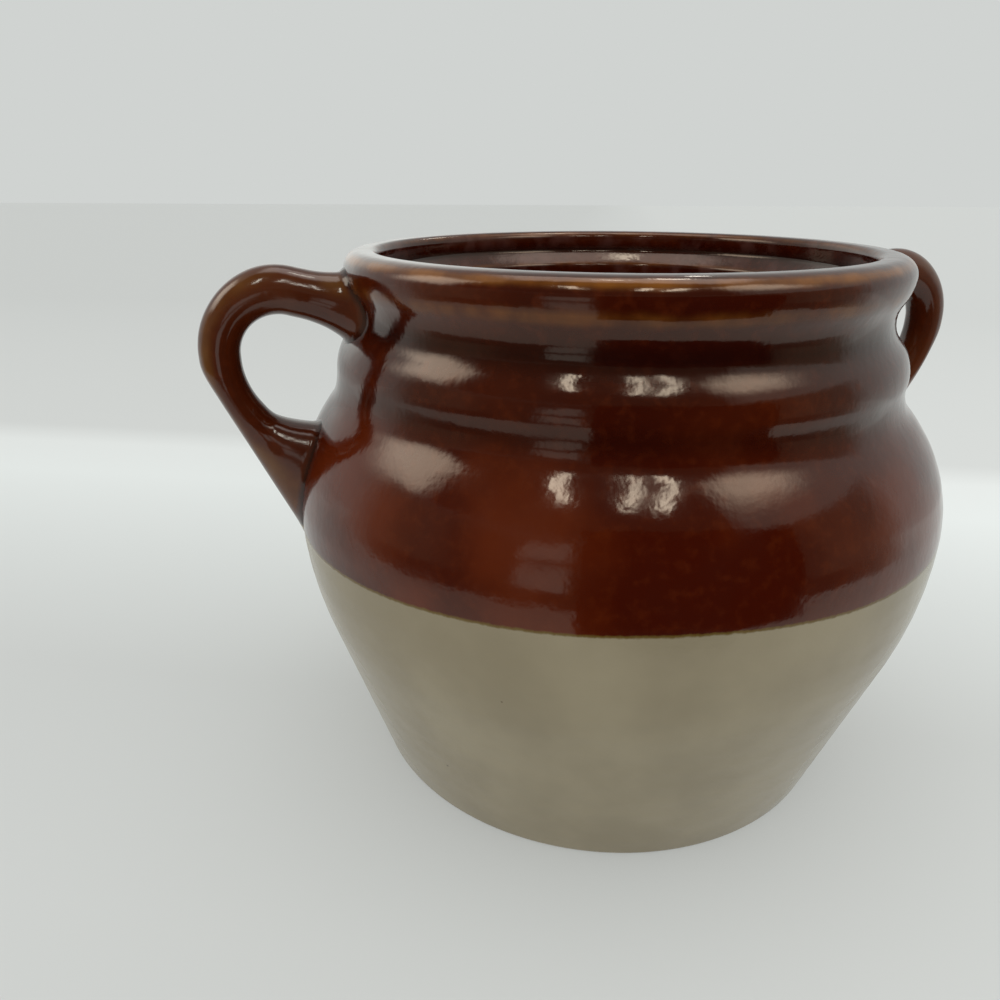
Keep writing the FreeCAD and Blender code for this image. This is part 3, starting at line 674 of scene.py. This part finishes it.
def make_glaze(name, thick, thinner, coat_and_shade_deepening, thin_tone, sheen_tint):
    """Iron glaze dipped over a cream one on stoneware: glossy, breaking to amber on thin edges."""
    made = bpy.data.materials.new(name)
    made.use_nodes = True
    tree = made.node_tree
    tree.nodes.clear()
    spot = add(tree, "ShaderNodeTexCoord").outputs["Object"]
    across, _, height = add(tree, "ShaderNodeSeparateXYZ", {"Vector": spot}).outputs
    known = {"across": across, "height": height}
    for mark in MARKS:
        known[mark] = add(tree, "ShaderNodeAttribute", attribute_name=mark).outputs["Fac"]
    # Unevenness of the fired glaze: the length of its features in millimetres, and their detail
    for key, length, detail in (("coat", 38.0, 3.0), ("mottle", 2.6, 2.0), ("bloom", 7.0, 4.0),
                                ("break", 9.0, 3.0), ("cloud", 30.0, 3.0), ("drift", 70.0, 1.0),
                                ("fray", 1.6, 2.0), ("dulling", 14.0, 2.0), ("peel", 1.3, 1.0),
                                ("waves", 8.0, 3.0)):
        known[key] = add(tree, "ShaderNodeTexNoise", {"Vector": spot, "Scale": per_mm(length),
                                                      "Detail": detail}).outputs[0]
    # Iron specks from the clay, in a few of the cells about 9 mm apart
    grit = add(tree, "ShaderNodeTexVoronoi", {"Vector": spot, "Scale": per_mm(9.0)}).outputs
    known["grit"] = grit["Distance"]
    known["chance"] = add(tree, "ShaderNodeSeparateColor", {"Color": grit["Color"]}).outputs[0]
    work_out(tree, known, (
        # Height over the dip line, which wanders, frays and sags where glaze ran down the -X tail
        ("drift about", "SUBTRACT", "drift", 0.5),
        ("wander", "MULTIPLY", "drift about", LINE_WANDER * MM),
        ("fray about", "SUBTRACT", "fray", 0.5),
        ("frayed", "MULTIPLY", "fray about", LINE_FRAY * MM),
        ("uneven", "ADD", "wander", "frayed"),
        ("towards tail", "MULTIPLY", "across", -SAG_RATE),
        ("on that side", "MAXIMUM", "towards tail", 0.0),
        ("close by", "POWER", "on that side", 2.0),
        ("sag", "MULTIPLY", "close by", LINE_SAG * MM),
        ("lift", "MULTIPLY", "inner", INSIDE_LIFT * MM),
        ("lower line", "ADD", "sag", "lift"),
        ("higher", "ADD", "height", "lower line"),
        ("level", "ADD", "higher", "uneven"),
        ("above", "SUBTRACT", "level", GLAZE_LINE * MM),
        # How much shows of each tone
        ("thinner coat", "SMOOTHSTEP", "coat", 0.42, 0.66),
        # Darker from the shoulder up: partly a thicker coat, partly painted shade under the rim
        ("thicker coat and shade", "SMOOTHSTEP", "height", 0.1, 0.13, 0.0, coat_and_shade_deepening),
        ("mottled", "SMOOTHSTEP", "mottle", 0.45, 0.8, 0.0, 0.32),
        ("bloomed", "SMOOTHSTEP", "bloom", 0.45, 0.68, 0.0, 0.4),
        ("inner bloom", "MULTIPLY", "inner", "bloomed"),
        # Nearly black where the glaze pooled in creases, partly painted shade there
        ("pool_and_shade", "MULTIPLY", "pooled_and_shaded", 0.88),
        ("breaking", "SMOOTHSTEP", "break", 0.25, 0.75, 0.5, 1.05),
        ("ragged", "MULTIPLY", "thin", "breaking"),
        ("thin edge", "SMOOTHSTEP", "ragged", 0.15, 0.95, 0.0, 0.9),
        ("clouded", "SMOOTHSTEP", "cloud", 0.3, 0.7),
        ("speck", "SMOOTHSTEP", "grit", 0.05, 0.03, 0.0, 0.8),
        ("rare", "GREATER_THAN", "chance", 0.82),
        ("specks", "MULTIPLY", "speck", "rare"),
        ("melted", "SMOOTHSTEP", "above", -0.7 * MM, -0.1 * MM),
        ("dipped", "SMOOTHSTEP", "above", -0.1 * MM, 0.5 * MM),
        # Roughness: the dark glaze is the glossier, both are duller in patches, clay is matt
        ("sheen", "SMOOTHSTEP", "above", -0.2 * MM, 0.4 * MM, 0.18, 0.1),
        ("patches", "SMOOTHSTEP", "dulling", 0.4, 0.8, 0.0, 0.07),
        ("glaze", "ADD", "sheen", "patches"),
        ("clay", "MULTIPLY", "bare", 0.6),
        ("roughness", "ADD", "glaze", "clay")))
    # Dark glaze: red-brown where thick, amber where it ran thin; darker towards the neck, partly a
    # thicker coat and partly painted shade under the rim; nearly black where it pooled in the
    # creases, partly the deeper glaze and partly painted shade there
    iron = linear(thick)
    for share, tone in (("thinner coat", thinner), ("thicker coat and shade", "#2c0801"),
                        ("mottled", "#5a2208"), ("inner bloom", "#64403a"),
                        ("pool_and_shade", "#1a0301"), ("thin edge", thin_tone)):
        iron = add(tree, "ShaderNodeMix", {"Factor": known[share], 6: iron, 7: linear(tone)},
                   data_type="RGBA").outputs[2]
    # Pale glaze with soft warm clouds and specks, an ochre edge where the two glazes melt
    # together, the dark glaze over it, and bare clay on the foot
    colour = linear("#877d66")
    for share, tone in (("clouded", linear("#948a72")), ("specks", linear("#3c2f1a")),
                        ("melted", linear("#5e4a1c")), ("dipped", iron),
                        ("bare", linear("#8f7a5e"))):
        colour = add(tree, "ShaderNodeMix", {"Factor": known[share], 6: colour, 7: tone},
                     data_type="RGBA").outputs[2]
    # Orange peel of the melted glaze, and slow waves that bend the reflections
    normal = None
    for height, depth in (("peel", 0.018), ("waves", 0.12)):
        relief = {"Height": known[height], "Strength": 1.0, "Distance": depth * MM}
        if normal:
            relief["Normal"] = normal
        normal = add(tree, "ShaderNodeBump", relief).outputs[0]
    shader = add(tree, "ShaderNodeBsdfPrincipled",
                 {"Base Color": colour, "Roughness": known["roughness"], "IOR": 1.5,
                  "Specular Tint": linear(sheen_tint), "Normal": normal})
    add(tree, "ShaderNodeOutputMaterial", {"Surface": shader.outputs[0]})
    return made


def emitter(name, colour, strength):
    """Panel or card that only the glaze's reflections see."""
    made = bpy.data.materials.new(name)
    made.use_nodes = True
    tree = made.node_tree
    tree.nodes.clear()
    glow = add(tree, "ShaderNodeEmission", {"Color": linear(colour), "Strength": strength})
    clear = add(tree, "ShaderNodeBsdfTransparent")
    cover = add(tree, "ShaderNodeAttribute", attribute_name="cover").outputs["Fac"]
    faded = add(tree, "ShaderNodeMixShader", (cover, clear.outputs[0], glow.outputs[0]))
    add(tree, "ShaderNodeOutputMaterial", {"Surface": faded.outputs[0]})
    return made


def stage_mesh(name, corners, faces, material):
    """Piece of the studio, built square to the studio's own middle line."""
    mesh = bpy.data.meshes.new(name)
    mesh.from_pydata([tuple(value * MM for value in corner) for corner in corners], [], faces)
    mesh.materials.append(material)
    made = new_object(name, mesh)
    made.rotation_euler = (0, 0, radians(STUDIO_TURN))
    return made


def make_floor():
    """Sheet of paper with painted shade: palest in the middle, greyer near the camera and past the
    fold behind.
    """
    made = bpy.data.materials.new("matt_white_paper")
    made.use_nodes = True
    tree = made.node_tree
    tree.nodes.clear()
    spot = add(tree, "ShaderNodeTexCoord").outputs["Object"]
    across, along, _ = add(tree, "ShaderNodeSeparateXYZ", {"Vector": spot}).outputs
    share = add(tree, "ShaderNodeMapRange", (along, -0.3, 0.9)).outputs[0]
    tones = add(tree, "ShaderNodeValToRGB", {"Fac": share})
    ramp = tones.color_ramp
    # Painted shade along the sheet: greyer near the camera, palest in the middle, greyer again past
    # the fold behind
    for place, tone in ((0.16, "#d6d9d7"), (0.24, "#d1d4d2"), (0.3, "#dadedc"), (0.4, "#e8edeb"),
                        (0.445, "#e6eae8"), (0.475, "#d6d9d7")):
        ramp.elements.new(place).color = linear(tone)
    ramp.elements[0].color = linear("#d4d7d5")
    ramp.elements[-1].color = linear("#ced1cf")
    shader = add(tree, "ShaderNodeBsdfPrincipled", {"Base Color": tones.outputs[0],
                                                    "Roughness": 0.8,
                                                    "Specular IOR Level": 0.2})
    # Part of the sheet glows by itself, more to the right: painted light that keeps the shadow pale
    rightward = add(tree, "ShaderNodeMapRange", (across, -0.2, 0.2, 0.96, 1.2)).outputs[0]
    glow = add(tree, "ShaderNodeEmission", {"Color": tones.outputs[0], "Strength": rightward})
    lit = add(tree, "ShaderNodeMixShader", (SHEET_GLOW, shader.outputs[0], glow.outputs[0]))
    add(tree, "ShaderNodeOutputMaterial", {"Surface": lit.outputs[0]}, is_active_output=True)
    corners = [(-SHEET_REACH, -SHEET_REACH, 0), (SHEET_REACH, -SHEET_REACH, 0),
               (SHEET_REACH, SHEET_REACH, 0), (-SHEET_REACH, SHEET_REACH, 0)]
    stage_mesh("floor", corners, [(0, 1, 2, 3)], made)


def make_world():
    """Soft tent: grey where the camera and the glaze see it, and whiter as the light it gives."""
    world = bpy.data.worlds.new("soft_tent")
    bpy.context.scene.world = world
    world.use_nodes = True
    tree = world.node_tree
    tree.nodes.clear()
    ray = add(tree, "ShaderNodeLightPath").outputs
    seen = ray["Is Camera Ray"]
    for kind in ("Is Glossy Ray", "Is Transmission Ray"):
        seen = add(tree, "ShaderNodeMath", (seen, ray[kind]), operation="ADD",
                   use_clamp=True).outputs[0]
    fill = add(tree, "ShaderNodeBackground", {"Color": linear("#f6f6f4"), "Strength": 0.8})
    shown = add(tree, "ShaderNodeBackground", {"Color": linear("#d0d3d1"), "Strength": 1.0})
    blend = add(tree, "ShaderNodeMixShader", (seen, fill.outputs[0], shown.outputs[0]))
    add(tree, "ShaderNodeOutputWorld", {"Surface": blend.outputs[0]})


def make_sun(name, energy, spread, way):
    """Large soft lamp; the glaze mirrors the cards and not this lamp."""
    lamp = bpy.data.lights.new(name, "SUN")
    lamp.energy = energy
    lamp.angle = radians(spread)
    made = new_object(name, lamp)
    made.rotation_euler = Vector(way).to_track_quat("-Z", "Y").to_euler()
    made.visible_glossy = False


def card(name, place, material, soft=0.0):
    """Card from a function of two shares; soft is the share of each side that fades out."""
    shares = [count / CARD_STEPS for count in range(CARD_STEPS + 1)]
    corners = [place(u, v) for u in shares for v in shares]
    faces = []
    for u in range(CARD_STEPS):
        for v in range(CARD_STEPS):
            first = u * (CARD_STEPS + 1) + v
            faces.append((first, first + CARD_STEPS + 1, first + CARD_STEPS + 2, first + 1))
    made = stage_mesh(name, corners, faces, material)

    def fade(share):
        inward = min(share, 1 - share)
        rise = 1.0 if soft == 0 else min(inward / soft, 1.0)
        return rise * rise * (3 - 2 * rise)

    cover = [fade(u) * fade(v) for u in shares for v in shares]
    made.data.attributes.new("cover", "FLOAT", "POINT").data.foreach_set("value", cover)
    made.visible_camera = False
    made.visible_diffuse = False
    made.visible_shadow = False
    made.visible_transmission = False
    made.visible_volume_scatter = False


def wall_card(name, reach, start, end, low, high, material, soft=0.0):
    """Curved card round the pot between two bearings; bearing 0 is towards the camera's side."""
    def place(u, v):
        bearing = radians(start + (end - start) * u)
        return reach * sin(bearing), -reach * cos(bearing), low + (high - low) * v
    card(name, place, material, soft)


def flat_card(name, left, right, near_edge, far_edge, height, material, soft=0.0):
    """Level card over the pot."""
    def place(u, v):
        return left + (right - left) * u, near_edge + (far_edge - near_edge) * v, height
    card(name, place, material, soft)


def front_card(name, left, right, low, high, material, soft=0.0):
    """Upright card close in front of the pot, a little to the camera's right."""
    bearing = radians(FRONT_BEARING)

    def place(u, v):
        shift = left + (right - left) * u
        return (FRONT_REACH * sin(bearing) + shift * cos(bearing),
                -FRONT_REACH * cos(bearing) + shift * sin(bearing), low + (high - low) * v)
    card(name, place, material, soft)


def make_studio():
    """Sheet, tent and lamps, and the cards that the glaze mirrors where the light falls on it."""
    make_floor()
    make_world()
    make_sun("tent_roof", 0.5, 70, (-0.25, -0.05, -1.0))
    make_sun("tent_side", 0.42, 80, (1.0, 0.25, -0.4))
    # Felt and cloth that darken the glaze, from black to a dull sheen
    black = emitter("black_felt", "#1c1c1c", 1.0)
    shade = emitter("shaded_cloth", "#61594f", 1.0)
    dim = emitter("dim_cloth", "#8f8475", 1.0)
    # Cloth that lights it: small pale squares, broad warm lights, the rim's light, the far edge
    grey = emitter("grey_cloth", "#e0e2e0", 1.0)
    glow = emitter("lit_cloth", "#fff2e4", 4.6)
    roof = emitter("lit_roof", "#fdf4f2", 2.6)
    back = emitter("lit_backdrop", "#fbfffb", 1.15)
    # Lamps, which make the small bright lights on the neck, the waist and the rim
    lamp = emitter("bare_lamp", "#fffaf0", 14.0)
    front_card("front_black", -65, 191.5, 1, 195, black)
    front_card("front_low_square", -140, -72, 75, 120, grey, 0.1)
    front_card("front_high_square", -140, -72, 128, 172, grey, 0.1)
    wall_card("front_dim", 430, -84, 98, -30, 290, dim, 0.08)
    wall_card("front_shade", 420, -52, 68, 10, 290, shade, 0.12)
    wall_card("low_shade", 415, -77, 86, -40, 75, shade, 0.12)
    wall_card("left_back_glow", 520, -175, -108, 60, 620, back, 0.3)
    wall_card("high_shade", 420, -66, 48, 250, 900, shade, 0.06)
    flat_card("roof_shade", -320, 320, -330, -90, 640, shade, 0.1)
    flat_card("roof_glow", -260, 300, -90, 220, 640, roof, 0.15)
    wall_card("left_glow", 500, -100, -58, 240, 740, glow, 0.35)
    wall_card("right_glow", 400, 40, 86, 330, 800, glow, 0.35)
    flat_card("lamp_left", -108, -80, -355, -210, 450, lamp, 0.2)
    flat_card("lamp_middle", 48, 78, -375, -224, 450, lamp, 0.2)
    flat_card("lamp_right", 120, 152, -375, -214, 450, lamp, 0.2)
    flat_card("lamp_over_seat", -30, 15, -5, 22, 450, lamp, 0.3)
    flat_card("lamp_over_rim", 35, 85, 60, 115, 450, lamp, 0.3)
    flat_card("lamp_behind", 72, 100, 280, 410, 450, lamp, 0.3)


def make_camera():
    """Wide lens close to the pot, solved from the ellipses of the rim and the foot."""
    lens = bpy.data.cameras.new("camera")
    lens.sensor_width = 36.0
    lens.lens = 27.59
    lens.clip_start = 0.01
    lens.clip_end = 20.0
    made = new_object("camera", lens)
    yaw = radians(15.16)
    pitch = radians(22.59)
    look = Vector((sin(yaw) * cos(pitch), cos(yaw) * cos(pitch), -sin(pitch)))
    made.location = (-0.0921, -0.2119, 0.1690)
    made.rotation_euler = look.to_track_quat("-Z", "Y").to_euler()
    bpy.context.scene.camera = made


# The wall that the straps are seated on
outside = Outline(RIM_RADIUS - RIM_CORNER, CREST_HEIGHT)
trace_outside(outside)
WALL_LINE = np.array(finely(outside.points))
WALL_WAYS = ways_out(WALL_LINE)

make_camera()
make_studio()
# The straps' glaze is browner and more even than the body's, which darkens from the shoulder up,
# partly a thicker coat and partly painted shade under the rim
pot_glaze = make_glaze("iron_glaze_over_cream", "#3d0c01", "#551c05", 0.6, "#84501a", "#fff1df")
handle_glaze = make_glaze("iron_glaze_on_strap", "#451907", "#55270f", 0.1, "#6c461c", "#fcfffa")
pot = make_pot(pot_glaze)
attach(pot, "root")
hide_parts("pot_body")
for name, side in (("strap_right", 1), ("strap_left", -1)):
    strap = make_handle(name, side, handle_glaze)
    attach(strap, "root")
    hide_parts(name.replace("strap", "handle"))

bpy.context.scene.view_settings.view_transform = "Standard"
